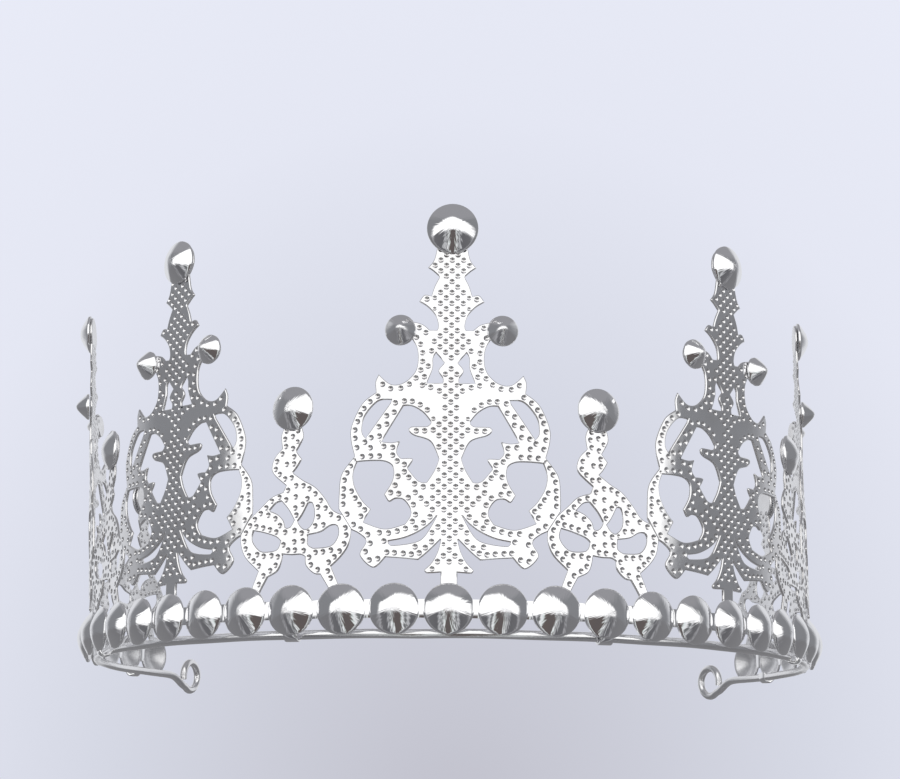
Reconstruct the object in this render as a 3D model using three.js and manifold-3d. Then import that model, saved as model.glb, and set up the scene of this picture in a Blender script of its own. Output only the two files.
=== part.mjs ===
// An open-backed crown of silver-plated stamped sheet: a band of conical bosses on a round hoop
// wire, five tall peaks and six low scrolls standing on the band, and a stud on every point.
// Millimetres, +Z up, the front faces -Y. The origin is under the middle of the bounding box, and
// beside the hoop's own middle, because the two rear peaks lean differently.
import * as THREE from "three";
import Module from "manifold-3d";
import { mergeVertices } from "three/addons/utils/BufferGeometryUtils.js";

const wasm = await Module();
wasm.setup();

// ---- driving dimensions ----
const hoopRadius = 75; // the band seen from above, from side to side through the front
const rearRadius = 60; // the sprung-in ends at the open back
const frontHalfAngle = THREE.MathUtils.degToRad(80); // where the wide arc gives way to the ends

const bossPitch = 9.05;
const bossCount = 33;
const bossRadius = 4.25;
const bossRise = 1.7;
const bandHeight = 7.9; // the centres of the bosses above the lowest point
const sheet = 0.5; // thickness of the stamped metal
const neckHeight = 3.1;
const lap = 0.45; // how far the bosses, necks and tongues of the band run into each other
const inset = 0.05; // keeps the faces of joined lengths out of one plane

const wireRadius = 0.8;
const wireHeight = 4.0;
const eyeletRadius = 3.2; // to the middle of the wire
const eyeletPlace = 156; // along the hoop from the front
const tabWidth = 2.4;
const tabEnd = 0.2; // the folded end stands this much above the wire
const tabBosses = [-15, -9, -3, 3, 9, 15];

const jointGap = 0.3; // between pieces that are brazed together
const wireOut = -(sheet / 2 + jointGap + wireRadius);
const plateOut = -(sheet + jointGap);
const stepAlong = 3.0; // usual chord on a curved outline
const wireSteps = 46;
const bendStep = 9.5; // width of the flat strips that a plate is bent from

const peaks = { // the boss that each one stands on, and how far its top leans out of the hoop
  front: { boss: 0, lean: 2.2 },
  left_side: { boss: -6, lean: 2.2 },
  right_side: { boss: 6, lean: 2.2 },
  left_rear: { boss: -12, lean: 4.2 },
  right_rear: { boss: 12, lean: 0.3 },
};
const scrolls = { // the boss that each one stands over
  left_front: -3,
  right_front: 3,
  left_back: -9,
  right_back: 9,
  left_end: -15,
  right_end: 15,
};

const largeStud = { radius: 4.05, rise: 1.9 };
const frontStud = { radius: 4.5, rise: 2.1 };
const scrollStud = { radius: 3.9, rise: 1.8 };
const armStud = { radius: 2.7, rise: 2.2 };
const roundSides = 12;
const wireSides = 8;
const slopeFoot = 0.92; // a cone's slope starts at this share of its radius, inside a flat rim
const hollowFoot = 0.86; // and its hollow back at this one

// ---- the hoop's plan ----
// The point at a distance "along" from the front, "out" from the band's middle surface.
function hoopPoint(along, out, height) {
  const side = Math.sign(along) || 1;
  const length = Math.abs(along);
  const frontLength = hoopRadius * frontHalfAngle;
  const wide = length <= frontLength;
  const heading = wide ? length / hoopRadius : frontHalfAngle + (length - frontLength) / rearRadius;
  const radius = wide ? hoopRadius : rearRadius;
  const shift = wide ? 0 : hoopRadius - rearRadius;
  const x = shift * Math.sin(frontHalfAngle) + (radius + out) * Math.sin(heading);
  const y = -shift * Math.cos(frontHalfAngle) - (radius + out) * Math.cos(heading);
  return new THREE.Vector3(side * x, y, height);
}

// A frame on the hoop: x runs along it, y up, z outwards.
function hoopFrame(along, out, height) {
  const place = hoopPoint(along, out, height);
  const outwards = hoopPoint(along, out + 1, height).sub(place);
  const up = new THREE.Vector3(0, 0, 1);
  const alongHoop = new THREE.Vector3().crossVectors(up, outwards);
  return new THREE.Matrix4().makeBasis(alongHoop, up, outwards).setPosition(place);
}

// ---- outlines ----
// Each run is a smooth curve through its points, and the next run starts at a corner.
function tracePath(runs) {
  const points = [];
  for (const run of runs) {
    const curve = new THREE.SplineCurve(run.map(([x, y]) => new THREE.Vector2(x, y)));
    const steps = run.length > 2 ? Math.max(2, Math.round(curve.getLength() / stepAlong)) : 1;
    points.push(...curve.getPoints(steps).slice(0, -1));
  }
  return points;
}

function arcRun(centreX, centreY, radius, fromDegrees, toDegrees, steps) {
  return Array.from({ length: steps + 1 }, (_, i) => {
    const angle = THREE.MathUtils.degToRad(fromDegrees + ((toDegrees - fromDegrees) * i) / steps);
    return [centreX + radius * Math.cos(angle), centreY + radius * Math.sin(angle)];
  });
}

const flip = (runs) => runs.map((run) => run.map(([x, y]) => [-x, y]).reverse()).reverse();

// The tall peak, right half from the top pad down to the foot of the stem. Heights are above the
// middle of the band.
const peakTop = 65.8;
const peakArm = [8.65, 47.58];
const peakHalf = [
  arcRun(0, peakTop, 3.7, 90, -48, 4),
  [[2.48, 63.1], [3.08, 60.3], [4.12, 58.83]],
  [[4.12, 58.83], [3.18, 58.15], [2.13, 57.16]],
  [[2.13, 57.16], [2.98, 55.4], [3.48, 53.73]],
  [[3.48, 53.73], [4.67, 53.92], [5.56, 52.74]],
  [[5.56, 52.74], [4.07, 51.76], [2.68, 50.09], [2.24, 48.32], [2.48, 47.63]],
  [[2.48, 47.63], [3.68, 47.63]],
  [[3.68, 47.63], [4.97, 48.71], [7.15, 49.3]],
  arcRun(...peakArm, 2.3, 130, -143, 6),
  [[6.82, 46.22], [5.87, 44.58], [5.62, 42.31], [6.17, 40.14], [8.06, 38.37], [10.25, 38.17], [12.34, 39.95]],
  [[12.34, 39.95], [12.89, 38.57], [12.74, 36.79]],
  [[12.74, 36.79], [15.13, 34.91], [16.93, 31.16], [17.04, 28.59], [16.35, 25.82]],
  [[16.35, 25.82], [18.55, 22.85], [18.95, 19.68], [18.96, 16.8]],
  [[18.96, 16.8], [16.67, 13.23]],
  [[16.67, 13.23], [15.28, 12.53], [14.08, 11.24], [15.13, 8.96], [12.79, 6.82], [10.69, 8.56]],
  [[10.69, 8.56], [7.99, 8.36], [5.19, 8.06]],
  [[5.19, 8.06], [3.6, 9.36], [1.4, 11.54]],
  [[1.4, 11.54], [1.9, 9.55], [2.9, 7.66], [4.1, 6.47]],
  [[4.1, 6.47], [3.8, 5.87], [1.4, 5.97]],
  [[1.4, 5.97], [1.4, 3.09]],
];
const peakHoles = [
  [
    [[2.59, 43.59], [3.08, 42.61], [3.13, 40.83], [4.08, 38.27]],
    [[4.08, 38.27], [1.44, 38.27]],
    [[1.44, 38.27], [1.34, 38.96], [2.14, 40.44], [1.14, 41.82]],
    [[1.14, 41.82], [2.59, 43.59]],
  ],
  [
    [[9.85, 35.41], [12.34, 35.21], [14.64, 32.64], [15.14, 30.07], [14.45, 28.89]],
    [[14.45, 28.89], [9.85, 35.41]],
  ],
  [
    [[7.96, 34.32], [6.47, 34.22], [4.68, 33.14], [3.29, 31.46]],
    [[3.29, 31.46], [3.88, 30.77], [6.67, 30.67], [7.02, 29.97], [6.18, 29.18], [3.39, 28.1], [1.89, 25.13]],
    [[1.89, 25.13], [2.59, 23.25], [3.89, 21.17]],
    [[3.89, 21.17], [5.29, 21.36], [7.18, 23.54]],
    [[7.18, 23.54], [6.28, 25.13], [8.27, 25.23]],
    [[8.27, 25.23], [9.07, 26.32], [8.47, 28.29]],
    [[8.47, 28.29], [9.96, 28], [11.66, 28.19]],
    [[11.66, 28.19], [7.96, 34.32]],
  ],
  [
    [[15.85, 24.83], [13.26, 24.93], [10.96, 24.73], [9.67, 23.74], [9.72, 21.56], [11.12, 19.18]],
    [[11.12, 19.18], [10.28, 17.89], [9.18, 18.39], [7.68, 18.09], [6.49, 16.01], [7.49, 14.12]],
    [[7.49, 14.12], [10.98, 13.33], [14.67, 14.52]],
    [[14.67, 14.52], [13.37, 16.7]],
    [[13.37, 16.7], [14.86, 18.19], [16.26, 20.67], [16.55, 22.85], [15.85, 24.83]],
  ],
  [
    [[2.1, 15.51], [3.19, 14.22], [5.09, 12.83], [7.59, 11.74], [10.19, 11.24]],
    [[10.19, 11.24], [9.89, 10.55], [6.19, 10.95], [4.19, 12.04], [2.1, 15.51]],
  ],
];

// The low scroll stands on two leaning stems and is the same way round everywhere.
const scrollTop = [-1.0, 35.0];
const scrollUpright = 5; // half the width that stands upright

const scrollOutline = [
  arcRun(...scrollTop, 3.5, 241, -63, 8),
  [[0.59, 31.88], [1.0, 29.8], [-0.25, 27.4]],
  [[-0.25, 27.4], [0.2, 26.8], [0.85, 26.0]],
  [[0.85, 26.0], [0.0, 24.6], [-0.8, 23.7]],
  [[-0.8, 23.7], [1.2, 22.3], [3.5, 21.0], [5.5, 18.9], [7.0, 16.8], [8.6, 15.65]],
  [[8.6, 15.65], [10.15, 13.2]],
  [[10.15, 13.2], [10.35, 12.0], [9.9, 10.4], [8.6, 8.7], [6.9, 7.2]],
  [[6.9, 7.2], [8.1, 4.6], [8.7, 3.1]],
  [[8.7, 3.1], [7.1, 2.4]],
  [[7.1, 2.4], [6.5, 3.6], [5.0, 5.9]],
  [[5.0, 5.9], [3.8, 6.1], [2.3, 7.5], [2.1, 9.0]],
  [[2.1, 9.0], [1.3, 9.4], [-0.5, 9.4], [-2.2, 9.6]],
  [[-2.2, 9.6], [-2.5, 8.0], [-3.2, 6.7], [-5.0, 5.8]],
  [[-5.0, 5.8], [-6.2, 3.7], [-6.9, 2.2]],
  [[-6.9, 2.2], [-8.5, 2.9]],
  [[-8.5, 2.9], [-7.9, 4.4], [-6.9, 6.9]],
  [[-6.9, 6.9], [-9.5, 9.3], [-10.45, 11.5], [-10.15, 13.2]],
  [[-10.15, 13.2], [-8.6, 15.65]],
  [[-8.6, 15.65], [-6.7, 17.9], [-4.8, 19.6], [-2.5, 20.4]],
  [[-2.5, 20.4], [-2.0, 21.5]],
  [[-2.0, 21.5], [-4.5, 23.6], [-4.95, 25.1], [-4.3, 26.8], [-3.0, 28.1]],
  [[-3.0, 28.1], [-3.3, 30.3], [-2.7, 31.94]],
];
const scrollHoles = [
  [
    [[-5.1, 17.3], [-3.9, 18.5], [-2.75, 18.8]],
    [[-2.75, 18.8], [-1.3, 17.2], [-0.2, 15.4]],
    [[-0.2, 15.4], [-0.9, 14.3], [-1.9, 14.2], [-2.3, 15.4], [-3.5, 16.6], [-5.1, 17.3]],
  ],
  [
    [[0.45, 15.1], [1.3, 16.2], [2.35, 18.15]],
    [[2.35, 18.15], [3.1, 18.2], [3.6, 16.5], [3.3, 14.8], [2.2, 13.75], [1.2, 14.1], [0.45, 15.1]],
  ],
  [
    [[-8.0, 13.9], [-6.1, 13.5], [-3.7, 12.7], [-2.7, 11.9]],
    [[-2.7, 11.9], [-3.4, 10.5], [-6.0, 10.25], [-7.3, 10.9], [-8.3, 12.4], [-8.0, 13.9]],
  ],
  [
    [[2.5, 12.7], [4.9, 13.15], [6.6, 14.1], [7.9, 14.0], [8.1, 12.4], [6.8, 10.75], [3.6, 10.45]],
    [[3.6, 10.45], [2.5, 11.1], [2.5, 12.7]],
  ],
];

// ---- sheet metal bent round the hoop ----
// Cuts one flat triangle at the bend lines and returns convex polygons, one for each strip.
function cutAtBends(triangle) {
  const clip = (polygon, line, keepAbove) => {
    const inside = ([x]) => (keepAbove ? x >= line : x <= line);
    return polygon.flatMap((point, i) => {
      const next = polygon[(i + 1) % polygon.length];
      const kept = inside(point) ? [point] : [];
      if (inside(point) === inside(next) || point[0] === line || next[0] === line) return kept;
      const [low, high] = point[0] < next[0] ? [point, next] : [next, point];
      const share = (line - low[0]) / (high[0] - low[0]);
      return [...kept, [line, low[1] + share * (high[1] - low[1])]];
    });
  };
  const across = triangle.map(([x]) => x);
  const first = Math.floor(Math.min(...across) / bendStep);
  const last = Math.ceil(Math.max(...across) / bendStep);
  const polygons = [];
  for (let strip = first; strip < last; strip += 1) {
    const above = clip(triangle, strip * bendStep, true);
    polygons.push(clip(above, (strip + 1) * bendStep, false));
  }
  return polygons.filter((polygon) => polygon.length > 2);
}

// A flat outline with holes becomes a sheet standing on the hoop at "along". Each of its points
// leans out of the hoop by leanAt(x, y).
function bentPlate(outline, holes, along, leanAt) {
  const contour = tracePath(outline);
  const cutouts = holes.map(tracePath);
  if (THREE.ShapeUtils.isClockWise(contour)) contour.reverse();
  cutouts.filter((loop) => !THREE.ShapeUtils.isClockWise(loop)).forEach((loop) => loop.reverse());
  const flat = [contour, ...cutouts].flat().map(({ x, y }) => [x, y]);

  const vertices = [];
  const numbers = new Map();
  const numberOf = ([x, y]) => {
    const key = `${x.toFixed(4)} ${y.toFixed(4)}`;
    if (!numbers.has(key)) numbers.set(key, vertices.push([x, y]) - 1);
    return numbers.get(key);
  };
  const faces = [];
  for (const corners of THREE.ShapeUtils.triangulateShape(contour, cutouts)) {
    for (const polygon of cutAtBends(corners.map((corner) => flat[corner]))) {
      const ring = polygon.map(numberOf);
      for (let i = 2; i < ring.length; i += 1) faces.push([ring[0], ring[i - 1], ring[i]]);
    }
  }
  const solidFaces = faces.filter(([a, b, c]) => a !== b && b !== c && c !== a);

  const shift = vertices.length;
  const edges = new Set();
  const triangles = [];
  for (const [a, b, c] of solidFaces) {
    triangles.push(a, b, c, a + shift, c + shift, b + shift);
    [[a, b], [b, c], [c, a]].forEach(([from, to]) => edges.add(`${from} ${to}`));
  }
  for (const edge of edges) {
    const [from, to] = edge.split(" ").map(Number);
    if (edges.has(`${to} ${from}`)) continue;
    triangles.push(to, from, from + shift, to, from + shift, to + shift);
  }
  const bend = (out) => vertices.flatMap(([x, y]) => {
    return hoopPoint(along + x, out + leanAt(x, y), bandHeight + y).toArray();
  });
  const geometry = new THREE.BufferGeometry();
  const positions = [...bend(plateOut + sheet / 2), ...bend(plateOut - sheet / 2)];
  geometry.setAttribute("position", new THREE.Float32BufferAttribute(positions, 3));
  geometry.setIndex(triangles);
  return geometry;
}

// ---- pressed cones ----
// A hollow cone with a narrow flat rim, its axis along z and the middle of its rim at 0.
function coneShell({ radius, rise }) {
  const half = sheet / 2;
  const profile = [
    [0, half + rise],
    [radius * slopeFoot, half],
    [radius, half],
    [radius, -half],
    [radius * hollowFoot, -half],
    [0, rise - half],
  ];
  const points = profile.map(([x, y]) => new THREE.Vector2(x, y)).reverse();
  return new THREE.LatheGeometry(points, roundSides).rotateX(Math.PI / 2);
}

function studOn(along, height, size, lean) {
  const shell = coneShell(size).rotateX(Math.atan(lean / peakTop));
  const out = (lean * height) / peakTop;
  return shell.applyMatrix4(hoopFrame(along, out, bandHeight + height));
}

// ---- the band ----
function toSolid(geometry) {
  const bare = geometry.clone();
  bare.deleteAttribute("normal");
  bare.deleteAttribute("uv");
  const merged = mergeVertices(bare, 1e-4);
  const vertProperties = new Float32Array(merged.attributes.position.array);
  const triVerts = new Uint32Array(merged.index.array);
  return new wasm.Manifold(new wasm.Mesh({ numProp: 3, vertProperties, triVerts }));
}

function toGeometry(solid) {
  const mesh = solid.getMesh();
  const geometry = new THREE.BufferGeometry();
  geometry.setAttribute("position", new THREE.BufferAttribute(mesh.vertProperties, 3));
  geometry.setIndex(new THREE.BufferAttribute(mesh.triVerts, 1));
  return geometry;
}

// A tongue from the foot of a boss, folded under the wire and up behind it.
function foldedTab(along) {
  const front = sheet / 2 - inset;
  const behind = wireOut - wireRadius - jointGap;
  const inside = wireHeight - wireRadius - jointGap;
  const tip = wireHeight + wireRadius + tabEnd;
  const bossFoot = bandHeight - bossRadius + lap;
  const profile = new THREE.Shape();
  profile.moveTo(front, bossFoot);
  profile.lineTo(-front, bossFoot);
  profile.lineTo(-front, inside);
  profile.lineTo(behind, inside);
  profile.lineTo(behind, tip);
  profile.lineTo(behind - sheet, tip);
  profile.lineTo(behind - sheet, inside - sheet);
  profile.lineTo(front, inside - sheet);
  const tongue = new THREE.ExtrudeGeometry(profile, { depth: tabWidth, bevelEnabled: false });
  tongue.translate(0, 0, -tabWidth / 2).rotateY(-Math.PI / 2);
  return tongue.applyMatrix4(hoopFrame(along, 0, 0));
}

function bandStrip() {
  const half = (bossCount - 1) / 2;
  const necklace = [];
  for (let place = -half; place <= half; place += 1) {
    const boss = coneShell({ radius: bossRadius, rise: bossRise });
    necklace.push(boss.applyMatrix4(hoopFrame(place * bossPitch, 0, bandHeight)));
    if (place === half) continue;
    const neckLength = bossPitch - 2 * bossRadius + 2 * lap;
    const neck = new THREE.BoxGeometry(neckLength, neckHeight, sheet - 2 * inset);
    necklace.push(neck.applyMatrix4(hoopFrame((place + 0.5) * bossPitch, 0, bandHeight)));
  }
  tabBosses.forEach((place) => necklace.push(foldedTab(place * bossPitch)));
  return toGeometry(necklace.map(toSolid).reduce((strip, piece) => strip.add(piece)));
}

// ---- the wire ----
function roundSection(radius) {
  const circle = new THREE.EllipseCurve(0, 0, radius, radius);
  return new THREE.Shape(circle.getPoints(wireSides).slice(0, -1));
}

function hoopWire() {
  const reach = eyeletPlace - eyeletRadius - wireRadius - jointGap;
  const path = new THREE.Curve();
  path.getPoint = (t) => hoopPoint((2 * t - 1) * reach, wireOut, wireHeight);
  const settings = { steps: wireSteps, extrudePath: path, bevelEnabled: false };
  return new THREE.ExtrudeGeometry(roundSection(wireRadius), settings);
}

function eyelet(side) {
  const ring = new THREE.TorusGeometry(eyeletRadius, wireRadius, wireSides, 2 * wireSides);
  return ring.applyMatrix4(hoopFrame(side * eyeletPlace, wireOut, wireHeight));
}

// ---- the crown ----
const silver = { color: 0xd8d9dc, metalness: 1 };
const stamped = new THREE.MeshStandardMaterial({ ...silver, roughness: 0.16 });
const polished = new THREE.MeshStandardMaterial({ ...silver, roughness: 0.07 });
const drawn = new THREE.MeshStandardMaterial({ ...silver, roughness: 0.22 });

const crown = new THREE.Group();
function addPiece(name, geometry, material) {
  const mesh = new THREE.Mesh(geometry, material);
  mesh.name = name;
  crown.add(mesh);
}

addPiece("hoop_wire", hoopWire(), drawn);
addPiece("eyelet_left", eyelet(-1), drawn);
addPiece("eyelet_right", eyelet(1), drawn);
addPiece("boss_band", bandStrip(), polished);

const peakOutline = [...peakHalf, [[1.4, 3.1], [-1.4, 3.1]], ...flip(peakHalf)];
const bothSides = [...peakHoles, ...peakHoles.map(flip)];
for (const [place, { boss, lean }] of Object.entries(peaks)) {
  const along = boss * bossPitch;
  const topSize = place === "front" ? frontStud : largeStud;
  const leanAt = (x, y) => (lean * y) / peakTop;
  addPiece(`peak_${place}`, bentPlate(peakOutline, bothSides, along, leanAt), stamped);
  addPiece(`top_stud_${place}`, studOn(along, peakTop, topSize, lean), polished);
  addPiece(`arm_stud_${place}_a`, studOn(along - peakArm[0], peakArm[1], armStud, lean), polished);
  addPiece(`arm_stud_${place}_b`, studOn(along + peakArm[0], peakArm[1], armStud, lean), polished);
}

for (const [place, boss] of Object.entries(scrolls)) {
  const along = boss * bossPitch;
  // Its ends follow the peaks on either side, and the rest of it stands upright.
  const isBeside = (x) => (peak) => peak.boss === boss + 3 * Math.sign(x);
  const leanAt = (x, y) => {
    const share = Math.max(0, Math.abs(x) - scrollUpright) / scrollUpright;
    const beside = Object.values(peaks).find(isBeside(x)) ?? { lean: 0 };
    return (share * beside.lean * y) / peakTop;
  };
  addPiece(`scroll_${place}`, bentPlate(scrollOutline, scrollHoles, along, leanAt), stamped);
  addPiece(`scroll_stud_${place}`, studOn(along + scrollTop[0], scrollTop[1], scrollStud, 0), polished);
}

// The box round the whole crown is centred over the origin.
const box = new THREE.Box3().setFromObject(crown);
const middle = box.getCenter(new THREE.Vector3());
crown.position.set(-middle.x, -middle.y, 0);

export default crown;
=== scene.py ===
# An open-backed silver crown: stamped peaks and scrolls full of punched dimples, pressed cones,
# a band of bosses, and a drawn wire that is bent into an eyelet at each end.
import bmesh
import bpy
import math
import random
from mathutils import Matrix, Vector, noise
from mathutils.kdtree import KDTree


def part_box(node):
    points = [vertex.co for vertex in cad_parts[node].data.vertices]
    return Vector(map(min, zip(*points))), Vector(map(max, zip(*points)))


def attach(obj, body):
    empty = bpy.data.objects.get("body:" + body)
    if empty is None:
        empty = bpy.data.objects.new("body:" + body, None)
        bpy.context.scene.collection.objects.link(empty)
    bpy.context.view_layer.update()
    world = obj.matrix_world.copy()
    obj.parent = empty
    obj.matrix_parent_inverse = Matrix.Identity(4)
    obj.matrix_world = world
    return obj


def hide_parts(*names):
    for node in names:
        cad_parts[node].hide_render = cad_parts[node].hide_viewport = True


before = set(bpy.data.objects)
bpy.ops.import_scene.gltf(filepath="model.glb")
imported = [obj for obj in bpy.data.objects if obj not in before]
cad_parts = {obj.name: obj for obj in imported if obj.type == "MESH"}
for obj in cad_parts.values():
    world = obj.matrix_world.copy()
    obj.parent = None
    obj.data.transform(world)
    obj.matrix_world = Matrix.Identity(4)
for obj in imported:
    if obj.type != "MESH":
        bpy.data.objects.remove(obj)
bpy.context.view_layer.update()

hoop = {  # mm, seen from above
    "radius": 75.0,
    "rearRadius": 60.0,  # the ends spring in
    "frontHalf": math.radians(80),
    "pitch": 9.05,  # from boss to boss
    "bandHeight": 7.9,
    "sheet": 0.5,
    "plateOut": -0.52,  # the plates lie against the backs of the bosses
    "wireOut": -1.07,
    "wireHeight": 4.0,
}
studSizes = {  # mm: radius, rise of the tip and roundness of the tip
    "front": {"radius": 4.5, "rise": 2.1, "tip": 0.85},
    "large": {"radius": 4.05, "rise": 1.9, "tip": 0.75},
    "scroll": {"radius": 3.9, "rise": 1.6, "tip": 0.8},
    "arm": {"radius": 2.7, "rise": 2.2, "tip": 0.3},
    "boss": {"radius": 4.25, "rise": 1.7, "tip": 0.85},
}
mm = 0.001
creaseAngle = math.radians(40)  # sharper edges than this stay sharp
bandLow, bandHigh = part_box("boss_band")
bossTip = hoop["sheet"] / 2 + studSizes["boss"]["rise"]
hoopCentreX = (bandLow[0] + bandHigh[0]) / 2 / mm
hoopCentreY = bandLow[1] / mm + hoop["radius"] + bossTip  # behind the tip of the front boss
dice = random.Random(7)


# From mm along the hoop from the front, mm out of it and mm up, to metres.
def hoopPoint(along, out, height):
    side = -1 if along < 0 else 1
    length = abs(along)
    frontLength = hoop["radius"] * hoop["frontHalf"]
    radius, shift, heading = hoop["radius"], 0.0, length / hoop["radius"]
    if length > frontLength:
        radius = hoop["rearRadius"]
        shift = hoop["radius"] - radius
        heading = hoop["frontHalf"] + (length - frontLength) / radius
    x = shift * math.sin(hoop["frontHalf"]) + (radius + out) * math.sin(heading)
    y = hoopCentreY - shift * math.cos(hoop["frontHalf"]) - (radius + out) * math.cos(heading)
    return Vector(((hoopCentreX + side * x) * mm, y * mm, height * mm))


def hoopFrame(along, height, out=0.0):  # x along the hoop, y up, z outwards
    place = hoopPoint(along, out, height)
    outwards = (hoopPoint(along, out + 1, height) - place).normalized()
    up = Vector((0, 0, 1))
    turn = Matrix((up.cross(outwards), up, outwards)).transposed().to_4x4()
    return Matrix.Translation(place) @ turn @ Matrix.Scale(mm, 4)


def finishPiece(name, bm, material, nodes, keepCreases=False):
    bmesh.ops.recalc_face_normals(bm, faces=bm.faces)
    for face in bm.faces:
        face.smooth = True
    if not keepCreases:
        for edge in bm.edges:
            edge.smooth = edge.calc_face_angle(0) < creaseAngle
    mesh = bpy.data.meshes.new(name)
    bm.to_mesh(mesh)
    bm.free()
    mesh.materials.append(material)
    piece = bpy.data.objects.new(name, mesh)
    bpy.context.scene.collection.objects.link(piece)
    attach(piece, "root")
    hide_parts(*nodes)


blanks = {  # mm: how every flat blank is cut
    "curveStep": 0.42,
    "straightStep": 1.2,
    "closestPoints": 0.14,
    "blunt": 0.6,  # how much of a sharp corner's sides goes, as a share
    "sharpCosine": 0.5,
    "rim": 0.19,  # rounding of the cut edges
    "rimSteps": 3,
}


# An outline is a list of runs: each run is a smooth curve, and the next one starts at a corner.
def traceRuns(runs):
    points = []
    for run in runs:
        ends = [run[0]] + list(run) + [run[-1]]
        straight = len(run) == 2
        step = blanks["straightStep"] if straight else blanks["curveStep"]
        for i in range(len(run) - 1):
            a, b, c, d = (Vector(p) for p in ends[i:i + 4])
            count = max(1, round((c - b).length / step))
            for k in range(count):
                t = k / count
                if straight:
                    points.append(b.lerp(c, t))
                    continue
                v0, v1 = (c - a) / 2, (d - b) / 2
                points.append((2 * b - 2 * c + v0 + v1) * t ** 3
                              + (-3 * b + 3 * c - 2 * v0 - v1) * t ** 2 + v0 * t + b)
    return points


def arcRun(centre, radius, start, end, steps):
    angles = [math.radians(start + (end - start) * i / steps) for i in range(steps + 1)]
    return [(centre[0] + radius * math.cos(a), centre[1] + radius * math.sin(a)) for a in angles]


def flip(runs):
    return [[(-x, y) for x, y in reversed(run)] for run in reversed(runs)]


peakTop = 65.8
peakArm = (8.65, 47.58)
peakHalf = [
    arcRun((0, peakTop), 3.7, 90, -48, 4),
    [(2.48, 63.1), (3.08, 60.3), (4.12, 58.83)],
    [(4.12, 58.83), (3.18, 58.15), (2.13, 57.16)],
    [(2.13, 57.16), (2.98, 55.4), (3.48, 53.73)],
    [(3.48, 53.73), (4.67, 53.92), (5.56, 52.74)],
    [(5.56, 52.74), (4.07, 51.76), (2.68, 50.09), (2.24, 48.32), (2.48, 47.63)],
    [(2.48, 47.63), (3.68, 47.63)],
    [(3.68, 47.63), (4.97, 48.71), (7.15, 49.3)],
    arcRun(peakArm, 2.3, 130, -143, 6),
    [(6.82, 46.22), (5.87, 44.58), (5.62, 42.31), (6.17, 40.14), (8.06, 38.37), (10.25, 38.17),
     (12.34, 39.95)],
    [(12.34, 39.95), (12.89, 38.57), (12.74, 36.79)],
    [(12.74, 36.79), (15.13, 34.91), (16.93, 31.16), (17.04, 28.59), (16.35, 25.82)],
    [(16.35, 25.82), (18.55, 22.85), (18.95, 19.68), (18.96, 16.8)],
    [(18.96, 16.8), (16.67, 13.23)],
    [(16.67, 13.23), (15.28, 12.53), (14.08, 11.24), (15.13, 8.96), (12.79, 6.82), (10.69, 8.56)],
    [(10.69, 8.56), (7.99, 8.36), (5.19, 8.06)],
    [(5.19, 8.06), (3.6, 9.36), (1.4, 11.54)],
    [(1.4, 11.54), (1.9, 9.55), (2.9, 7.66), (4.1, 6.47)],
    [(4.1, 6.47), (3.8, 5.87), (1.4, 5.97)],
    [(1.4, 5.97), (1.4, 3.09)],
]
peakHoles = [
    [
        [(2.59, 43.59), (3.08, 42.61), (3.13, 40.83), (4.08, 38.27)],
        [(4.08, 38.27), (1.44, 38.27)],
        [(1.44, 38.27), (1.34, 38.96), (2.14, 40.44), (1.14, 41.82)],
        [(1.14, 41.82), (2.59, 43.59)],
    ],
    [
        [(9.85, 35.41), (12.34, 35.21), (14.64, 32.64), (15.14, 30.07), (14.45, 28.89)],
        [(14.45, 28.89), (9.85, 35.41)],
    ],
    [
        [(7.96, 34.32), (6.47, 34.22), (4.68, 33.14), (3.29, 31.46)],
        [(3.29, 31.46), (3.88, 30.77), (6.67, 30.67), (7.02, 29.97), (6.18, 29.18), (3.39, 28.1),
         (1.89, 25.13)],
        [(1.89, 25.13), (2.59, 23.25), (3.89, 21.17)],
        [(3.89, 21.17), (5.29, 21.36), (7.18, 23.54)],
        [(7.18, 23.54), (6.28, 25.13), (8.27, 25.23)],
        [(8.27, 25.23), (9.07, 26.32), (8.47, 28.29)],
        [(8.47, 28.29), (9.96, 28), (11.66, 28.19)],
        [(11.66, 28.19), (7.96, 34.32)],
    ],
    [
        [(15.85, 24.83), (13.26, 24.93), (10.96, 24.73), (9.67, 23.74), (9.72, 21.56),
         (11.12, 19.18)],
        [(11.12, 19.18), (10.28, 17.89), (9.18, 18.39), (7.68, 18.09), (6.49, 16.01),
         (7.49, 14.12)],
        [(7.49, 14.12), (10.98, 13.33), (14.67, 14.52)],
        [(14.67, 14.52), (13.37, 16.7)],
        [(13.37, 16.7), (14.86, 18.19), (16.26, 20.67), (16.55, 22.85), (15.85, 24.83)],
    ],
    [
        [(2.1, 15.51), (3.19, 14.22), (5.09, 12.83), (7.59, 11.74), (10.19, 11.24)],
        [(10.19, 11.24), (9.89, 10.55), (6.19, 10.95), (4.19, 12.04), (2.1, 15.51)],
    ],
]

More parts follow.
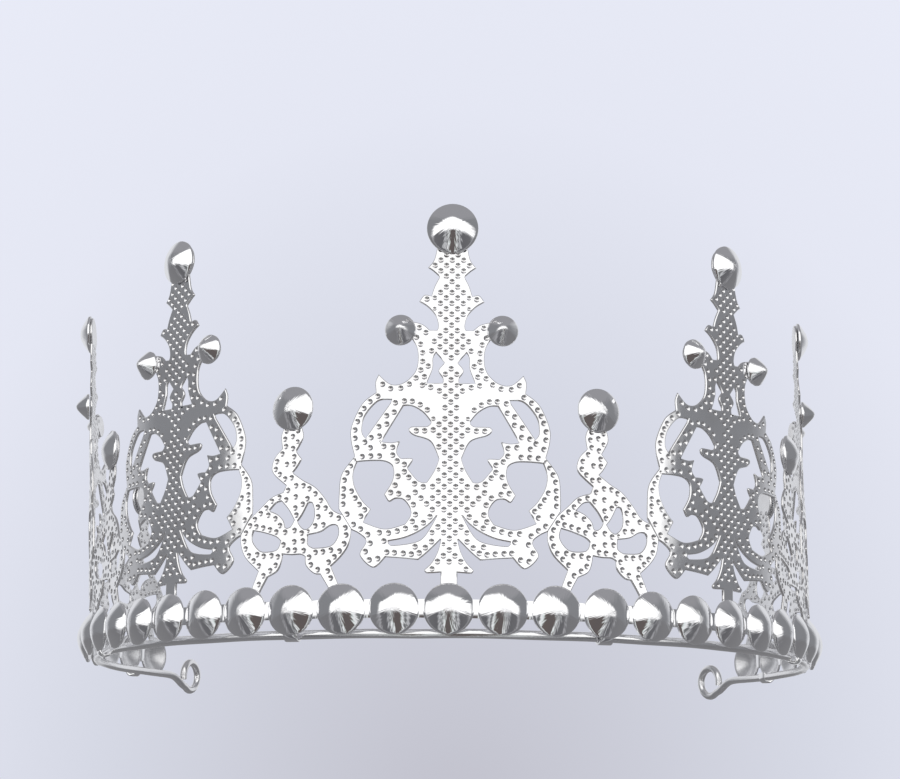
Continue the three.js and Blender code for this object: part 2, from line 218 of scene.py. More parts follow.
# The low scroll stands on two leaning stems and is the same way round everywhere.
scrollTop = (-1.0, 35.0)
scrollOutline = [
    arcRun(scrollTop, 3.5, 241, -63, 8),
    [(0.59, 31.88), (1.0, 29.8), (-0.25, 27.4)],
    [(-0.25, 27.4), (0.2, 26.8), (0.85, 26.0)],
    [(0.85, 26.0), (0.0, 24.6), (-0.8, 23.7)],
    [(-0.8, 23.7), (1.2, 22.3), (3.5, 21.0), (5.5, 18.9), (7.0, 16.8), (8.94, 15.87)],
    [(8.94, 15.87), (10.49, 13.42)],
    [(10.49, 13.42), (10.35, 12.0), (9.9, 10.4), (8.6, 8.7), (6.9, 7.2)],
    [(6.9, 7.2), (8.1, 4.6), (8.7, 3.1)],
    [(8.7, 3.1), (7.1, 2.4)],
    [(7.1, 2.4), (6.5, 3.6), (5.0, 5.9)],
    [(5.0, 5.9), (3.8, 6.1), (2.3, 7.5), (2.1, 9.0)],
    [(2.1, 9.0), (1.3, 9.4), (-0.5, 9.4), (-2.2, 9.6)],
    [(-2.2, 9.6), (-2.5, 8.0), (-3.2, 6.7), (-5.0, 5.8)],
    [(-5.0, 5.8), (-6.2, 3.7), (-6.9, 2.2)],
    [(-6.9, 2.2), (-8.5, 2.9)],
    [(-8.5, 2.9), (-7.9, 4.4), (-6.9, 6.9)],
    [(-6.9, 6.9), (-9.5, 9.3), (-10.45, 11.5), (-10.49, 13.42)],
    [(-10.49, 13.42), (-8.94, 15.87)],
    [(-8.94, 15.87), (-6.7, 17.9), (-4.8, 19.6), (-2.5, 20.4)],
    [(-2.5, 20.4), (-2.0, 21.5)],
    [(-2.0, 21.5), (-4.5, 23.6), (-4.95, 25.1), (-4.3, 26.8), (-3.0, 28.1)],
    [(-3.0, 28.1), (-3.3, 30.3), (-2.7, 31.94)],
]
scrollHoles = [
    [
        [(-5.1, 17.3), (-3.9, 18.5), (-2.75, 18.8)],
        [(-2.75, 18.8), (-1.3, 17.2), (-0.2, 15.4)],
        [(-0.2, 15.4), (-0.9, 14.3), (-1.9, 14.2), (-2.3, 15.4), (-3.5, 16.6), (-5.1, 17.3)],
    ],
    [
        [(0.45, 15.1), (1.3, 16.2), (2.35, 18.15)],
        [(2.35, 18.15), (3.1, 18.2), (3.6, 16.5), (3.3, 14.8), (2.2, 13.75), (1.2, 14.1),
         (0.45, 15.1)],
    ],
    [
        [(-8.0, 13.9), (-6.1, 13.5), (-3.7, 12.7), (-2.7, 11.9)],
        [(-2.7, 11.9), (-3.4, 10.5), (-6.0, 10.25), (-7.3, 10.9), (-8.3, 12.4), (-8.0, 13.9)],
    ],
    [
        [(2.5, 12.7), (4.9, 13.15), (6.6, 14.1), (7.9, 14.0), (8.1, 12.4), (6.8, 10.75),
         (3.6, 10.45)],
        [(3.6, 10.45), (2.5, 11.1), (2.5, 12.7)],
    ],
]

dimple = {  # mm
    "radius": 0.56,  # with the narrow flat lip round it
    "smallest": 0.3,
    "fromEdge": 0.2,
    "lip": 0.03,
    "sides": 9,
    "depths": [(0.09, 0.08), (0.67, 0.32)],  # inset and drop, ring by ring, as shares of the radius
    "bottom": 0.02,
    "rowInset": 0.78,  # rows follow the outlines this far in
    "rowPitch": 1.28,
    "latticePitch": 1.94,  # across, and half of it from row to row
    "closest": 1.22,
    "clear": 0.6,  # the lattice keeps this far from every edge
    "onAxis": 0.35,  # nearer the middle than this, a dimple moves onto it
    "probe": 0.12,  # how far in the sheet is looked for
    "narrowest": 0.3,  # the width of a strip is found from here, in these steps
    "widthStep": 0.1,
}
lattice = {"firstRow": 8, "columns": 12, "height": 70, "everywhere": 30}  # the last two in mm


def crossings(point, loop):  # how often a line to the right of the point meets the loop
    count = 0
    for a, b in zip(loop, loop[1:] + loop[:1]):
        if (a.y > point.y) != (b.y > point.y):
            if point.x < a.x + (point.y - a.y) / (b.y - a.y) * (b.x - a.x):
                count += 1
    return count


def placeDimples(loops, plainZones, trunkHalf, mirrored):
    tree = KDTree(sum(len(loop) for loop in loops))
    for i, point in enumerate(p for loop in loops for p in loop):
        tree.insert((point.x, point.y, 0), i)
    tree.balance()
    placed = []

    def onSheet(point):
        return sum(crossings(point, loop) for loop in loops) % 2 == 1

    def tryPlace(point, clear):
        if mirrored and abs(point.x) < dimple["onAxis"]:
            point = Vector((0, point.y))
        if mirrored and point.x != 0 and point.x < dimple["closest"] / 2:
            return
        edge = tree.find((point.x, point.y, 0))[2]
        if edge < clear or not onSheet(point):
            return
        if any(crossings(point, [Vector(p) for p in zone]) % 2 for zone in plainZones):
            return
        if all((point - other).length > dimple["closest"] for other, size in placed):
            placed.append((point, min(dimple["radius"], edge - dimple["fromEdge"])))

    def fillLattice(half):
        pitch = dimple["latticePitch"]
        for row in range(lattice["firstRow"], int(2 * lattice["height"] / pitch)):
            for column in range(-lattice["columns"], lattice["columns"] + 1):
                x = (column + row % 2 / 2) * pitch
                if abs(x) <= half:
                    tryPlace(Vector((x, row * pitch / 2)), dimple["clear"])

    fillLattice(trunkHalf)
    for loop in loops:
        last = None
        for a, b in zip(loop, loop[1:] + loop[:1]):
            middle = (a + b) / 2
            if last and (middle - last).length < dimple["rowPitch"] / 5:
                continue
            last = middle
            inwards = Vector((a.y - b.y, b.x - a.x)).normalized()
            if not onSheet(middle + inwards * dimple["probe"]):
                inwards = -inwards
            width, wider = dimple["narrowest"], dimple["widthStep"]
            while width < 2 * dimple["rowInset"] and onSheet(middle + inwards * (width + wider)):
                width += wider
            tryPlace(middle + inwards * width / 2, dimple["smallest"] + dimple["fromEdge"])
    fillLattice(lattice["everywhere"])
    if mirrored:
        placed += [(Vector((-p.x, p.y)), size) for p, size in placed if p.x > 0]
    return placed


def bluntCorners(loop):  # no punch cuts a corner as sharp as a knife
    blunt = []
    for before, point, after in zip(loop[-1:] + loop[:-1], loop, loop[1:] + loop[:1]):
        back, on = before - point, after - point
        if back.normalized().dot(on.normalized()) > blanks["sharpCosine"]:
            blunt += [point + back * blanks["blunt"], point + on * blanks["blunt"]]
        else:
            blunt.append(point)
    return blunt


def stampBlank(outline, holes, plainZones, trunkHalf, mirrored):  # flat, mm, front face up
    loops = []
    for runs in [outline] + holes:
        loop = []
        for point in traceRuns(runs):
            if not loop or (point - loop[-1]).length > blanks["closestPoints"]:
                loop.append(point)
        loops.append(bluntCorners(loop))
    bm = bmesh.new()
    for loop in loops:
        corners = [bm.verts.new((p.x, p.y, 0)) for p in loop]
        for a, b in zip(corners, corners[1:] + corners[:1]):
            bm.edges.new((a, b))
    dimples = placeDimples(loops, plainZones, trunkHalf, mirrored)
    for point, size in dimples:
        turn = Matrix.Rotation(dice.random() * 3, 4, "Z")
        place = Matrix.Translation((point.x, point.y, 0)) @ turn
        bmesh.ops.create_circle(bm, cap_ends=True, segments=dimple["sides"],
                                radius=size, matrix=place)
    caps = list(zip(bm.faces, [size for point, size in dimples]))
    bmesh.ops.triangle_fill(bm, use_beauty=True, edges=list(bm.edges), normal=(0, 0, 1))
    bmesh.ops.recalc_face_normals(bm, faces=bm.faces)
    if bm.faces[0].normal.z < 0:
        bmesh.ops.reverse_faces(bm, faces=bm.faces)
    caps = [(face, size) for face, size in caps if face.is_valid]
    bmesh.ops.inset_individual(bm, faces=[face for face, size in caps],
                               thickness=dimple["lip"], depth=0)
    for face, size in caps:
        for inset, drop in dimple["depths"]:
            bmesh.ops.inset_individual(bm, faces=[face], thickness=inset * size,
                                       depth=-drop * size)
    centres = bmesh.ops.poke(bm, faces=[face for face, size in caps],
                             center_mode="MEAN")["verts"]
    bmesh.ops.translate(bm, verts=centres, vec=(0, 0, -dimple["bottom"]))
    front = list(bm.faces)
    back = bmesh.ops.extrude_face_region(bm, geom=front, use_keep_orig=True)["geom"]
    bmesh.ops.translate(bm, verts=[v for v in back if isinstance(v, bmesh.types.BMVert)],
                        vec=(0, 0, -hoop["sheet"]))
    bmesh.ops.translate(bm, verts=bm.verts, vec=(0, 0, hoop["sheet"] / 2))
    bm.normal_update()
    rims = [edge for edge in bm.edges if edge.is_manifold
            and min(abs(face.normal.z) for face in edge.link_faces) < 0.3
            and max(abs(face.normal.z) for face in edge.link_faces) > 0.7]
    rounded = bmesh.ops.bevel(bm, geom=rims, offset=blanks["rim"], segments=blanks["rimSteps"],
                              profile=0.5, affect="EDGES", clamp_overlap=False,
                              material=-1)["faces"]
    bm.normal_update()
    for face in bm.faces:
        face.smooth = True
    for face in rounded:  # the flat of the sheet ends in a clean line
        for edge in face.edges:
            if any(other.normal.z ** 2 > 0.98 and other not in rounded
                   for other in edge.link_faces):
                edge.smooth = False
    mesh = bpy.data.meshes.new("blank")
    bm.to_mesh(mesh)
    bm.free()
    return mesh


# A node with its settings, and with its inputs set or linked.
def wireUp(tree, kind, inputs=(), **settings):
    made = tree.nodes.new(kind)
    for key, value in settings.items():
        setattr(made, key, value)
    for key, value in dict(inputs).items():
        if isinstance(value, bpy.types.NodeSocket):
            tree.links.new(value, made.inputs[key])
        else:
            made.inputs[key].default_value = value
    return made


def newGroup(name, inputs, outputs):
    group = bpy.data.node_groups.new(name, "ShaderNodeTree")
    for label, (kind, value) in inputs.items():
        socket = group.interface.new_socket(label, in_out="INPUT", socket_type="NodeSocket" + kind)
        if value is not None:
            socket.default_value = value
    for label, kind in outputs.items():
        group.interface.new_socket(label, in_out="OUTPUT", socket_type="NodeSocket" + kind)
    given, result = group.nodes.new("NodeGroupInput"), group.nodes.new("NodeGroupOutput")
    return group, given.outputs, result.inputs


def buildPolish():  # a soft cloudiness in the plate and the hairlines that handling leaves
    group, given, result = newGroup("handPolish", {
        "Coordinates": ("Vector", None), "Cloud Scale": ("Float", 300.0),
        "Hairline Scale": ("Float", 900.0), "Low": ("Float", 0.05), "High": ("Float", 0.12)},
        {"Roughness": "Float", "Height": "Float"})
    cloud = wireUp(group, "ShaderNodeTexNoise", {
        "Vector": given["Coordinates"], "Scale": given["Cloud Scale"], "Detail": 3.0})
    stretched = wireUp(group, "ShaderNodeMapping", {
        "Vector": given["Coordinates"], "Rotation": (0.3, 0.5, 0.8), "Scale": (1.0, 9.0, 3.0)})
    hair = wireUp(group, "ShaderNodeTexNoise", {
        "Vector": stretched.outputs[0], "Scale": given["Hairline Scale"], "Detail": 2.0})
    lines = wireUp(group, "ShaderNodeMapRange", {
        "Value": hair.outputs[0], "From Min": 0.58, "From Max": 0.75})
    both = wireUp(group, "ShaderNodeMath", {0: cloud.outputs[0], 1: lines.outputs[0]},
                  operation="MAXIMUM")
    rough = wireUp(group, "ShaderNodeMapRange", {
        "Value": both.outputs[0], "From Min": 0.3, "From Max": 1.0,
        "To Min": given["Low"], "To Max": given["High"]})
    group.links.new(rough.outputs[0], result["Roughness"])
    group.links.new(both.outputs[0], result["Height"])
    return group


def buildTarnish():  # warm grey film that gathers in hollows and drifts over the rest
    group, given, result = newGroup("tarnish", {
        "Coordinates": ("Vector", None), "Hollow": ("Float", 0.0), "Amount": ("Float", 0.2),
        "Bright": ("Color", (0.9, 0.9, 0.91, 1)), "Dull": ("Color", (0.55, 0.52, 0.5, 1))},
        {"Color": "Color"})
    drift = wireUp(group, "ShaderNodeTexNoise", {
        "Vector": given["Coordinates"], "Scale": 120.0, "Detail": 4.0})
    patches = wireUp(group, "ShaderNodeMapRange", {
        "Value": drift.outputs[0], "From Min": 0.45, "From Max": 0.8})
    gathered = wireUp(group, "ShaderNodeMath", {0: patches.outputs[0], 1: given["Hollow"]},
                      operation="ADD")
    share = wireUp(group, "ShaderNodeMath", {0: gathered.outputs[0], 1: given["Amount"]},
                   operation="MULTIPLY", use_clamp=True)
    mixed = wireUp(group, "ShaderNodeMix", {
        0: share.outputs[0], 6: given["Bright"], 7: given["Dull"]}, data_type="RGBA")
    group.links.new(mixed.outputs[2], result["Color"])
    return group


handPolish, tarnish = buildPolish(), buildTarnish()


def silver(name, look):
    material = bpy.data.materials.new(name)
    material.use_nodes = True
    tree = material.node_tree
    shader = tree.nodes["Principled BSDF"]
    shader.inputs["Metallic"].default_value = 1.0
    where = wireUp(tree, "ShaderNodeTexCoord").outputs["Object"]
    hollow = wireUp(tree, "ShaderNodeAttribute", attribute_name="hollow").outputs["Fac"]
    film = wireUp(tree, "ShaderNodeGroup", node_tree=tarnish)
    tree.links.new(where, film.inputs["Coordinates"])
    tree.links.new(hollow, film.inputs["Hollow"])
    film.inputs["Amount"].default_value = look["tarnish"]
    film.inputs["Bright"].default_value = (*look["colour"], 1)
    polish = wireUp(tree, "ShaderNodeGroup", node_tree=handPolish)
    tree.links.new(where, polish.inputs["Coordinates"])
    polish.inputs["Low"].default_value, polish.inputs["High"].default_value = look["roughness"]
    across = where
    if look["spun"]:
        across = wireUp(tree, "ShaderNodeAttribute", attribute_name="spoke").outputs["Vector"]
    ripple = wireUp(tree, "ShaderNodeTexNoise", {
        "Vector": across, "Scale": look["rippleScale"], "Detail": 1.5})
    waves = wireUp(tree, "ShaderNodeBump", {
        "Height": ripple.outputs[0], "Strength": 1.0, "Distance": look["ripple"] * mm})
    grain = wireUp(tree, "ShaderNodeBump", {
        "Height": polish.outputs["Height"], "Strength": 1.0, "Distance": look["grain"] * mm,
        "Normal": waves.outputs[0]})
    tree.links.new(film.outputs["Color"], shader.inputs["Base Color"])
    # the side that no buffing wheel reached is rougher
    inside = wireUp(tree, "ShaderNodeAttribute", attribute_name="inside").outputs["Fac"]
    rough = wireUp(tree, "ShaderNodeMath", {
        0: inside, 1: look["unbuffed"], 2: polish.outputs["Roughness"]}, operation="MULTIPLY_ADD")
    tree.links.new(rough.outputs[0], shader.inputs["Roughness"])
    tree.links.new(grain.outputs[0], shader.inputs["Normal"])
    return material


stampedSilver = silver("stampedSilver", {
    "colour": (0.93, 0.93, 0.94), "tarnish": 0.35, "spun": False, "roughness": (0.06, 0.16),
    "rippleScale": 260.0, "ripple": 0.03, "grain": 0.002, "unbuffed": 0.26})
polishedSilver = silver("polishedSilver", {
    "colour": (0.93, 0.93, 0.94), "tarnish": 0.10, "spun": True, "roughness": (0.03, 0.09),
    "rippleScale": 3.0, "ripple": 0.026, "grain": 0.001, "unbuffed": 0.3})
drawnSilver = silver("drawnSilver", {
    "colour": (0.9, 0.9, 0.91), "tarnish": 0.2, "spun": False, "roughness": (0.16, 0.28),
    "rippleScale": 500.0, "ripple": 0.02, "grain": 0.002, "unbuffed": 0.0})

studio = {  # metres, watts and degrees
    "floorAt": -0.06,
    "floorHalf": 20,
    "floorColour": (0.70, 0.71, 0.76),
    "softbox": 9.0,
    "softboxSize": 1.6,
    "softboxAt": (0, -0.3, 1.6),
    "softboxTilt": -10,
    "tent": 1.25,  # a white cloth round the camera: its brightness, and how far round and up
    "tentHalf": 68,
    "tentBottom": -8,
    "tentTop": 57,
    "tentSag": 0.0085,  # its top comes down towards its sides
    "soft": 4,
    "behindFrom": 115,
    "behindSoft": 15,
    "ceilingFrom": 42,
    "ceilingSoft": 8,
    "ceiling": (0.31, 0.31, 0.33),
    "sides": (0.235, 0.24, 0.255),
    "behind": (0.75, 0.76, 0.79),
    # the table, as shares of half a turn from the camera: dark, with pale strips on it
    "below": [(0.0, (0.12, 0.105, 0.105)), (0.095, (0.13, 0.11, 0.105)), (0.105, (0.7, 0.77, 0.76)),
              (0.135, (0.85, 0.85, 0.87)), (0.15, (0.13, 0.14, 0.14)), (0.175, (0.2, 0.2, 0.21)),
              (0.19, (0.62, 0.63, 0.65)), (0.23, (0.13, 0.13, 0.14)), (0.34, (0.15, 0.15, 0.16)),
              (0.36, (0.38, 0.38, 0.4)), (0.4, (0.19, 0.19, 0.2)), (1.0, (0.24, 0.24, 0.25))],
}

paleFloor = bpy.data.materials.new("paleFloor")
paleFloor.use_nodes = True
tree = paleFloor.node_tree
fibre = wireUp(tree, "ShaderNodeTexNoise", {
    "Vector": wireUp(tree, "ShaderNodeTexCoord").outputs["Object"], "Scale": 35.0, "Detail": 5.0})
shade = wireUp(tree, "ShaderNodeMix", {
    0: fibre.outputs[0], 6: (*studio["floorColour"], 1),
    7: (*[c * 0.97 for c in studio["floorColour"]], 1)}, data_type="RGBA")
tree.links.new(shade.outputs[2], tree.nodes["Principled BSDF"].inputs["Base Color"])
tree.nodes["Principled BSDF"].inputs["Roughness"].default_value = 0.85

room = bpy.data.worlds.new("room")
room.use_nodes = True
bpy.context.scene.world = room
tree = room.node_tree
tree.nodes.clear()
direction = wireUp(tree, "ShaderNodeTexCoord").outputs["Generated"]
towards = wireUp(tree, "ShaderNodeSeparateXYZ", {0: direction})


def calc(operation, a, b=0.0):
    return wireUp(tree, "ShaderNodeMath", {0: a, 1: b}, operation=operation).outputs[0]


def step(value, edge, low=0.0, high=1.0, soft=studio["soft"]):  # a soft step in degrees
    return wireUp(tree, "ShaderNodeMapRange", {
        "Value": value, "From Min": edge - soft, "From Max": edge + soft,
        "To Min": low, "To Max": high}, interpolation_type="SMOOTHSTEP").outputs[0]


def blend(share, low, high):
    low, high = (c if isinstance(c, bpy.types.NodeSocket) else (*c, 1) for c in (low, high))
    mixed = wireUp(tree, "ShaderNodeMix", {0: share, 6: low, 7: high}, data_type="RGBA")
    return mixed.outputs[2]


def rampOf(value, stops):
    made = wireUp(tree, "ShaderNodeValToRGB", {0: value})
    elements = made.color_ramp.elements
    for place, colour in stops[2:]:
        elements.new(place)
    for element, (place, colour) in zip(elements, stops):
        element.position, element.color = place, (*colour, 1)
    return made.outputs[0]


degrees = 180 / math.pi
upwards = calc("MULTIPLY", calc("ARCSINE", towards.outputs[2]), degrees)
front = calc("MULTIPLY", towards.outputs[1], -1.0)
bearing = calc("MULTIPLY", calc("ARCTAN2", towards.outputs[0], front), degrees)
aside = calc("ABSOLUTE", bearing)
sag = calc("MULTIPLY", calc("POWER", aside, 2.0), studio["tentSag"])
sagging = calc("ADD", upwards, sag)
overTable = step(upwards, studio["tentBottom"])
tent = calc("MULTIPLY", step(aside, studio["tentHalf"], 1, 0), overTable)
tent = calc("MULTIPLY", tent, step(sagging, studio["tentTop"], 1, 0))
backWall = step(aside, studio["behindFrom"], soft=studio["behindSoft"])
walls = blend(backWall, studio["sides"], studio["behind"])
overhead = step(upwards, studio["ceilingFrom"], soft=studio["ceilingSoft"])
around = blend(overhead, walls, studio["ceiling"])
around = blend(overTable, rampOf(calc("DIVIDE", aside, 180.0), studio["below"]), around)
lit = blend(tent, around, [studio["tent"]] * 3)
mirrored = wireUp(tree, "ShaderNodeBackground", {"Color": lit, "Strength": 1.0})

# the paper behind the crown has painted shade: a soft shadow painted into it, darkest low in the
# middle and lighter outwards
across = calc("POWER", calc("MULTIPLY", towards.outputs[0], 1.25), 2.0)
above = calc("POWER", calc("SUBTRACT", towards.outputs[2], -0.03), 2.0)
paintedShadowPaper = rampOf(calc("SQRT", calc("ADD", across, above)), [
    (0.0, (0.53, 0.53, 0.60)), (0.15, (0.60, 0.61, 0.69)), (0.28, (0.67, 0.69, 0.78)),
    (0.45, (0.78, 0.80, 0.90)), (0.6, (0.81, 0.83, 0.93))])
backdrop = wireUp(tree, "ShaderNodeBackground", {"Color": paintedShadowPaper, "Strength": 1.0})
seen = wireUp(tree, "ShaderNodeLightPath").outputs["Is Camera Ray"]
either = wireUp(tree, "ShaderNodeMixShader", {
    0: seen, 1: mirrored.outputs[0], 2: backdrop.outputs[0]})
wireUp(tree, "ShaderNodeOutputWorld", {0: either.outputs[0]})
print("finishes and studio colours done")


# No sheet was straightened quite flat, and dirt gathers this deep in the dimples.
waves = {"height": 0.22, "scale": 0.07, "dirtDepth": 0.12}


def mountPlate(name, blank, along, leanAt, node):
    bm = bmesh.new()
    bm.from_mesh(blank)
    hollow = bm.verts.layers.float.new("hollow")
    inside = bm.verts.layers.float.new("inside")
    for vert in bm.verts:
        x, y, z = vert.co
        if z > 0:  # how deep a point lies in a dimple, for the dirt in it
            vert[hollow] = max(0.0, min(1.0, (hoop["sheet"] / 2 - z) / waves["dirtDepth"]))
        vert[inside] = 1.0 if z < 0 else 0.0
        drift = noise.noise(Vector((x * waves["scale"] + along, y * waves["scale"], 3.1)))
        vert.co.z += waves["height"] * drift
    for vert in bm.verts:
        s, h, out = vert.co
        out = hoop["plateOut"] + out + leanAt(s, h)
        vert.co = hoopPoint(along + s, out, hoop["bandHeight"] + h)
    finishPiece(name, bm, stampedSilver, [node], keepCreases=True)


def nodeName(name):  # LeftRear becomes left_rear
    return "".join("_" + c.lower() if c.isupper() else c for c in name).strip("_")


peaks = {  # the boss each stands on, and how far its top leans out of the hoop
    "Front": {"boss": 0, "lean": 2.2},
    "LeftSide": {"boss": -6, "lean": 2.2},
    "RightSide": {"boss": 6, "lean": 2.2},
    "LeftRear": {"boss": -12, "lean": 4.2},
    "RightRear": {"boss": 12, "lean": 0.3},
}
scrolls = {  # the boss that the middle of each is over
    "LeftFront": -3,
    "RightFront": 3,
    "LeftBack": -9,
    "RightBack": 9,
    "LeftEnd": -15,
    "RightEnd": 15,
}
peakOutline = peakHalf + [[(1.4, 3.1), (-1.4, 3.1)]] + flip(peakHalf)
peakCutouts = peakHoles + [flip(runs) for runs in peakHoles]
peakPlain = [(1.2, 32.6), (2.4, 31.5), (3.1, 33.4), (4.3, 34.5), (5.7, 35.3), (6.9, 35.7),
             (6.6, 37.7), (4.9, 37.3), (2.8, 36.0), (1.5, 34.8)]
underArmStud = [(7.1, 45.8), (11, 44.5), (11, 50.5), (7.1, 49.5)]
peakStem = [(-3, 2), (3, 2), (3, 5.9), (-3, 5.9)]
underTopStud = [(-3, 63.2), (3, 63.2), (3, 70), (-3, 70)]
plainParts = [peakPlain, [(-x, y) for x, y in peakPlain], peakStem, underTopStud,
              underArmStud, [(-x, y) for x, y in underArmStud]]
trunkHalf = 3.3
peakBlank = stampBlank(peakOutline, peakCutouts, plainParts, trunkHalf, True)
print("peak blank:", len(peakBlank.polygons), "faces")
scrollPlain = [[(-9, 2), (-5, 2), (-5.0, 4.6), (-8.6, 4.6)],
               [(9.5, 2), (6, 2), (6, 4.9), (9.5, 4.9)],
               [(-5, 33), (3, 33), (3, 39), (-5, 39)]]
scrollBlank = stampBlank(scrollOutline, scrollHoles, scrollPlain, 0, False)
print("scroll blank:", len(scrollBlank.polygons), "faces")


cone = {  # mm
    "steps": 44,
    "rings": 12,
    "flange": 0.05,
    "rim": 0.1,
    "hollow": 0.92,  # the inside is this much narrower
    "dent": 0.06,
    "dentScale": 1.8,
    "spokes": 3,
    "spokeLength": 0.6,
}


def pressCone(kind, place):
    size = studSizes[kind]
    radius, tip, half = size["radius"], size["tip"], hoop["sheet"] / 2
    foot = radius - cone["flange"]

    def slope(r):  # a straight-sided cone with a rounded tip
        whole = math.hypot(1, tip)
        return size["rise"] * (whole - math.hypot(min(r / foot, 1), tip)) / (whole - tip)

    shares = [i / cone["rings"] for i in range(cone["rings"])]
    profile = [(foot * share, half + slope(foot * share)) for share in shares]
    profile += [(foot, half), (radius - 0.01, half - 0.07), (radius, half - 0.15),
                (radius, cone["rim"] - half), (radius - cone["rim"], -half),
                (radius * cone["hollow"], -half)]
    profile += [(foot * cone["hollow"] * share, slope(foot * share) - half)
                for share in reversed(shares)]
    bm = bmesh.new()
    chain = [bm.verts.new((x, 0, z)) for x, z in profile]
    edges = [bm.edges.new(pair) for pair in zip(chain, chain[1:])]
    bmesh.ops.spin(bm, geom=chain + edges, cent=(0, 0, 0), axis=(0, 0, 1), angle=2 * math.pi,
                   steps=cone["steps"], use_merge=True)
    bmesh.ops.remove_doubles(bm, verts=bm.verts, dist=0.004)
    bm.normal_update()
    spoke = bm.verts.layers.float_vector.new("spoke")
    inside = bm.verts.layers.float.new("inside")
    seed = dice.random() * 50
    for vert in bm.verts:
        x, y, z = vert.co
        share = math.hypot(x, y) / radius
        vert[inside] = 1.0 if vert.normal.z < -0.2 else 0.0
        around = Vector((x, y, 0)).normalized()
        # streaks run from the tip to the rim
        vert[spoke] = (around.x * cone["spokes"] + seed, around.y * cone["spokes"],
                       share * cone["spokeLength"])
        if 0.1 < share < 0.9:  # the die leaves shallow dents
            dent = noise.noise(around * cone["dentScale"] + Vector((seed, share, seed)))
            vert.co.z += cone["dent"] * share * dent
    bmesh.ops.transform(bm, matrix=place, verts=bm.verts)
    return bm


def mountStud(name, kind, along, height, lean, node):
    tilt = Matrix.Rotation(math.atan(lean / peakTop), 4, "X")
    place = hoopFrame(along, hoop["bandHeight"] + height, lean * height / peakTop) @ tilt
    finishPiece(name, pressCone(kind, place), polishedSilver, [node])


for name, peak in peaks.items():
    along, lean, node = peak["boss"] * hoop["pitch"], peak["lean"], nodeName(name)
    mountPlate("peak" + name, peakBlank, along, lambda s, h: lean * h / peakTop, "peak_" + node)
    kind = "front" if name == "Front" else "large"
    mountStud("topStud" + name, kind, along, peakTop, lean, "top_stud_" + node)
    for side, letter in ((-1, "a"), (1, "b")):
        mountStud("armStud" + name + letter.upper(), "arm", along + side * peakArm[0], peakArm[1],
                  lean, "arm_stud_" + node + "_" + letter)
print("peaks and their studs done")

# this many mm each side of its middle a scroll is upright, and then it follows the peak beside it
scrollUpright = 5
toPeak = 3  # bosses
for name, boss in scrolls.items():
    along, node = boss * hoop["pitch"], nodeName(name)
    besides = {peak["boss"] - boss: peak["lean"] for peak in peaks.values()}

    def leanAt(s, h):
        share = max(0, abs(s) - scrollUpright) / scrollUpright
        return share * besides.get(-toPeak if s < 0 else toPeak, 0) * h / peakTop

    mountPlate("scroll" + name, scrollBlank, along, leanAt, "scroll_" + node)
    mountStud("scrollStud" + name, "scroll", along + scrollTop[0], scrollTop[1], 0,
              "scroll_stud_" + node)
print("scrolls and their studs done")

band = {  # mm
    "count": 33,
    "neck": (1.5, 3.1, 0.44),
    "tongues": (-15, -9, -3, 3, 9, 15),
    "tongueWidth": 2.4,
    "tongueTop": 5.1,
    "tongueInner": 0.81,  # it grips the wire
    "tongueSteps": 12,
    "tongueBack": 1.0,  # how far it comes up behind the wire
    "edge": 0.1,
}


def addTo(whole, part):
    mesh = bpy.data.meshes.new("part")
    part.to_mesh(mesh)
    part.free()
    whole.from_mesh(mesh)
    bpy.data.meshes.remove(mesh)


def makeNeck(along):
    neck = bmesh.new()
    bmesh.ops.create_cube(neck, size=1)
    bmesh.ops.scale(neck, vec=band["neck"], verts=neck.verts)
    bmesh.ops.bevel(neck, geom=neck.edges, offset=band["edge"], segments=2, profile=0.5,
                    affect="EDGES", material=-1)
    bmesh.ops.transform(neck, verts=neck.verts, matrix=hoopFrame(along, hoop["bandHeight"]))
    return neck


def makeTongue(along):  # it goes under the wire and up behind it
    tongue = bmesh.new()
    inner, steps = band["tongueInner"], band["tongueSteps"]
    outer, top = inner + hoop["sheet"], band["tongueTop"] - hoop["wireHeight"]
    turn = [math.radians(-180 * i / steps) for i in range(steps + 1)]
    path = [(inner, top)]
    path += [(inner * math.cos(a), inner * math.sin(a)) for a in turn]
    path += [(-inner, band["tongueBack"]), (-outer, band["tongueBack"])]
    path += [(outer * math.cos(a), outer * math.sin(a)) for a in reversed(turn)]
    path += [(outer, top)]
    near = -band["tongueWidth"] / 2
    corners = [tongue.verts.new((near, hoop["wireHeight"] + y, hoop["wireOut"] + x))
               for x, y in path]
    strip = tongue.faces.new(corners)
    side = bmesh.ops.extrude_face_region(tongue, geom=[strip], use_keep_orig=True)["geom"]
    far = [v for v in side if isinstance(v, bmesh.types.BMVert)]
    bmesh.ops.translate(tongue, verts=far, vec=(band["tongueWidth"], 0, 0))
    ends = {edge for face in tongue.faces if len(face.verts) == len(corners) for edge in face.edges}
    bmesh.ops.bevel(tongue, geom=list(ends), offset=band["edge"], segments=2, profile=0.5,
                    affect="EDGES", clamp_overlap=True, material=-1)
    bmesh.ops.transform(tongue, verts=tongue.verts, matrix=hoopFrame(along, 0))
    return tongue


bm = bmesh.new()
for index in range(band["count"]):
    along = (index - (band["count"] - 1) / 2) * hoop["pitch"]
    addTo(bm, pressCone("boss", hoopFrame(along, hoop["bandHeight"])))
    if index < band["count"] - 1:
        addTo(bm, makeNeck(along + hoop["pitch"] / 2))
for index in band["tongues"]:
    addTo(bm, makeTongue(index * hoop["pitch"]))
finishPiece("bossBand", bm, polishedSilver, ["boss_band"])
print("band done")

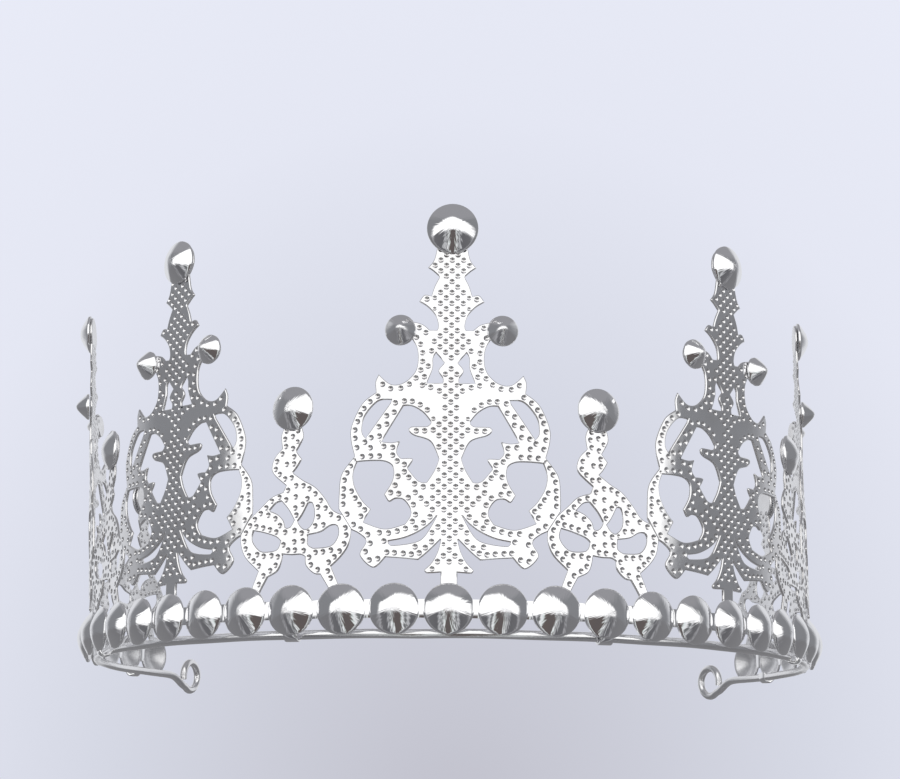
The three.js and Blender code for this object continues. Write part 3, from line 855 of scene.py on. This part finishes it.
wire = {  # mm and degrees
    "radius": 0.8,
    "eyelet": 3.2,
    "eyeletAt": 156.0,
    "straightTo": 147.5,
    "opensAt": -128,
    "closesAt": 200,
    "turnStep": 12,
    "twistFrom": 151,
    "twist": {-1: 20, 1: 8},  # how far each eyelet is turned out of the hoop
    "bend": 0.04,  # never quite straight
    "bendScale": 0.31,
}
end = [(149.4, 3.75), (151.0, 2.95), (152.4, 1.95)]
loopTurn = range(wire["opensAt"], wire["closesAt"] + 1, wire["turnStep"])
end += [(wire["eyeletAt"] + wire["eyelet"] * math.cos(math.radians(a)),
         hoop["wireHeight"] + wire["eyelet"] * math.sin(math.radians(a))) for a in loopTurn]
run = [(s, hoop["wireHeight"]) for s in range(-144, 145, 4)]
route = [(-s, h) for s, h in reversed(end)] + [(-wire["straightTo"], hoop["wireHeight"])] + run
route += [(wire["straightTo"], hoop["wireHeight"])] + end
path = bpy.data.curves.new("wirePath", "CURVE")
path.dimensions = "3D"
spline = path.splines.new("NURBS")
spline.points.add(len(route) - 1)
for point, (s, h) in zip(spline.points, route):
    lift = wire["bend"] * math.sin(s * wire["bendScale"])
    turned = math.tan(math.radians(wire["twist"][-1 if s < 0 else 1]))
    reach = -wire["eyelet"]
    if abs(s) > wire["twistFrom"]:
        reach = max(reach, abs(s) - wire["eyeletAt"])
    point.co = (*hoopPoint(s, hoop["wireOut"] + turned * reach, h + lift), 1)
spline.order_u, spline.use_endpoint_u, spline.resolution_u = 3, True, 3
path.bevel_depth, path.bevel_resolution, path.use_fill_caps = wire["radius"] * mm, 5, True
bent = bpy.data.objects.new("wirePath", path)
bpy.context.scene.collection.objects.link(bent)
tube = bpy.data.meshes.new_from_object(bent)
bpy.data.objects.remove(bent)
bm = bmesh.new()
bm.from_mesh(tube)
bmesh.ops.remove_doubles(bm, verts=bm.verts, dist=1e-6)
finishPiece("hoopWire", bm, drawnSilver, ["hoop_wire", "eyelet_left", "eyelet_right"])
print("wire done")

floorMesh = bpy.data.meshes.new("floor")
bm = bmesh.new()
bmesh.ops.create_grid(bm, x_segments=1, y_segments=1, size=studio["floorHalf"])
bmesh.ops.translate(bm, verts=bm.verts, vec=(0, 0, studio["floorAt"]))
bm.to_mesh(floorMesh)
bm.free()
floor = bpy.data.objects.new("floor", floorMesh)
bpy.context.scene.collection.objects.link(floor)
floorMesh.materials.append(paleFloor)
floor.visible_glossy = False  # the silver mirrors the studio, not the table

softbox = bpy.data.lights.new("softbox", "AREA")
softbox.energy, softbox.size = studio["softbox"], studio["softboxSize"]
lamp = bpy.data.objects.new("softbox", softbox)
lamp.location = studio["softboxAt"]
lamp.rotation_euler = (math.radians(studio["softboxTilt"]), 0, 0)
lamp.visible_glossy = False
bpy.context.scene.collection.objects.link(lamp)

view = {  # mm and degrees, from the middle of the hoop
    "lens": 61.87,
    "right": 1.168,
    "back": 331.2,
    "below": 21.4,
    "pan": 0.298,
    "up": 14.587,
    "roll": 0.643,
}
lens = bpy.data.cameras.new("camera")
lens.sensor_width, lens.lens = 36, view["lens"]
lens.clip_start, lens.clip_end = 0.01, 50
camera = bpy.data.objects.new("camera", lens)
stand = ((hoopCentreX + view["right"]) * mm, (hoopCentreY - view["back"]) * mm,
         -view["below"] * mm)
camera.matrix_world = (Matrix.Translation(stand)
                       @ Matrix.Rotation(math.radians(view["pan"]), 4, "Z")
                       @ Matrix.Rotation(math.radians(90 + view["up"]), 4, "X")
                       @ Matrix.Rotation(math.radians(view["roll"]), 4, "Z"))
bpy.context.scene.collection.objects.link(camera)
bpy.context.scene.camera = camera
bpy.context.scene.view_settings.view_transform = "Standard"
print("studio done")
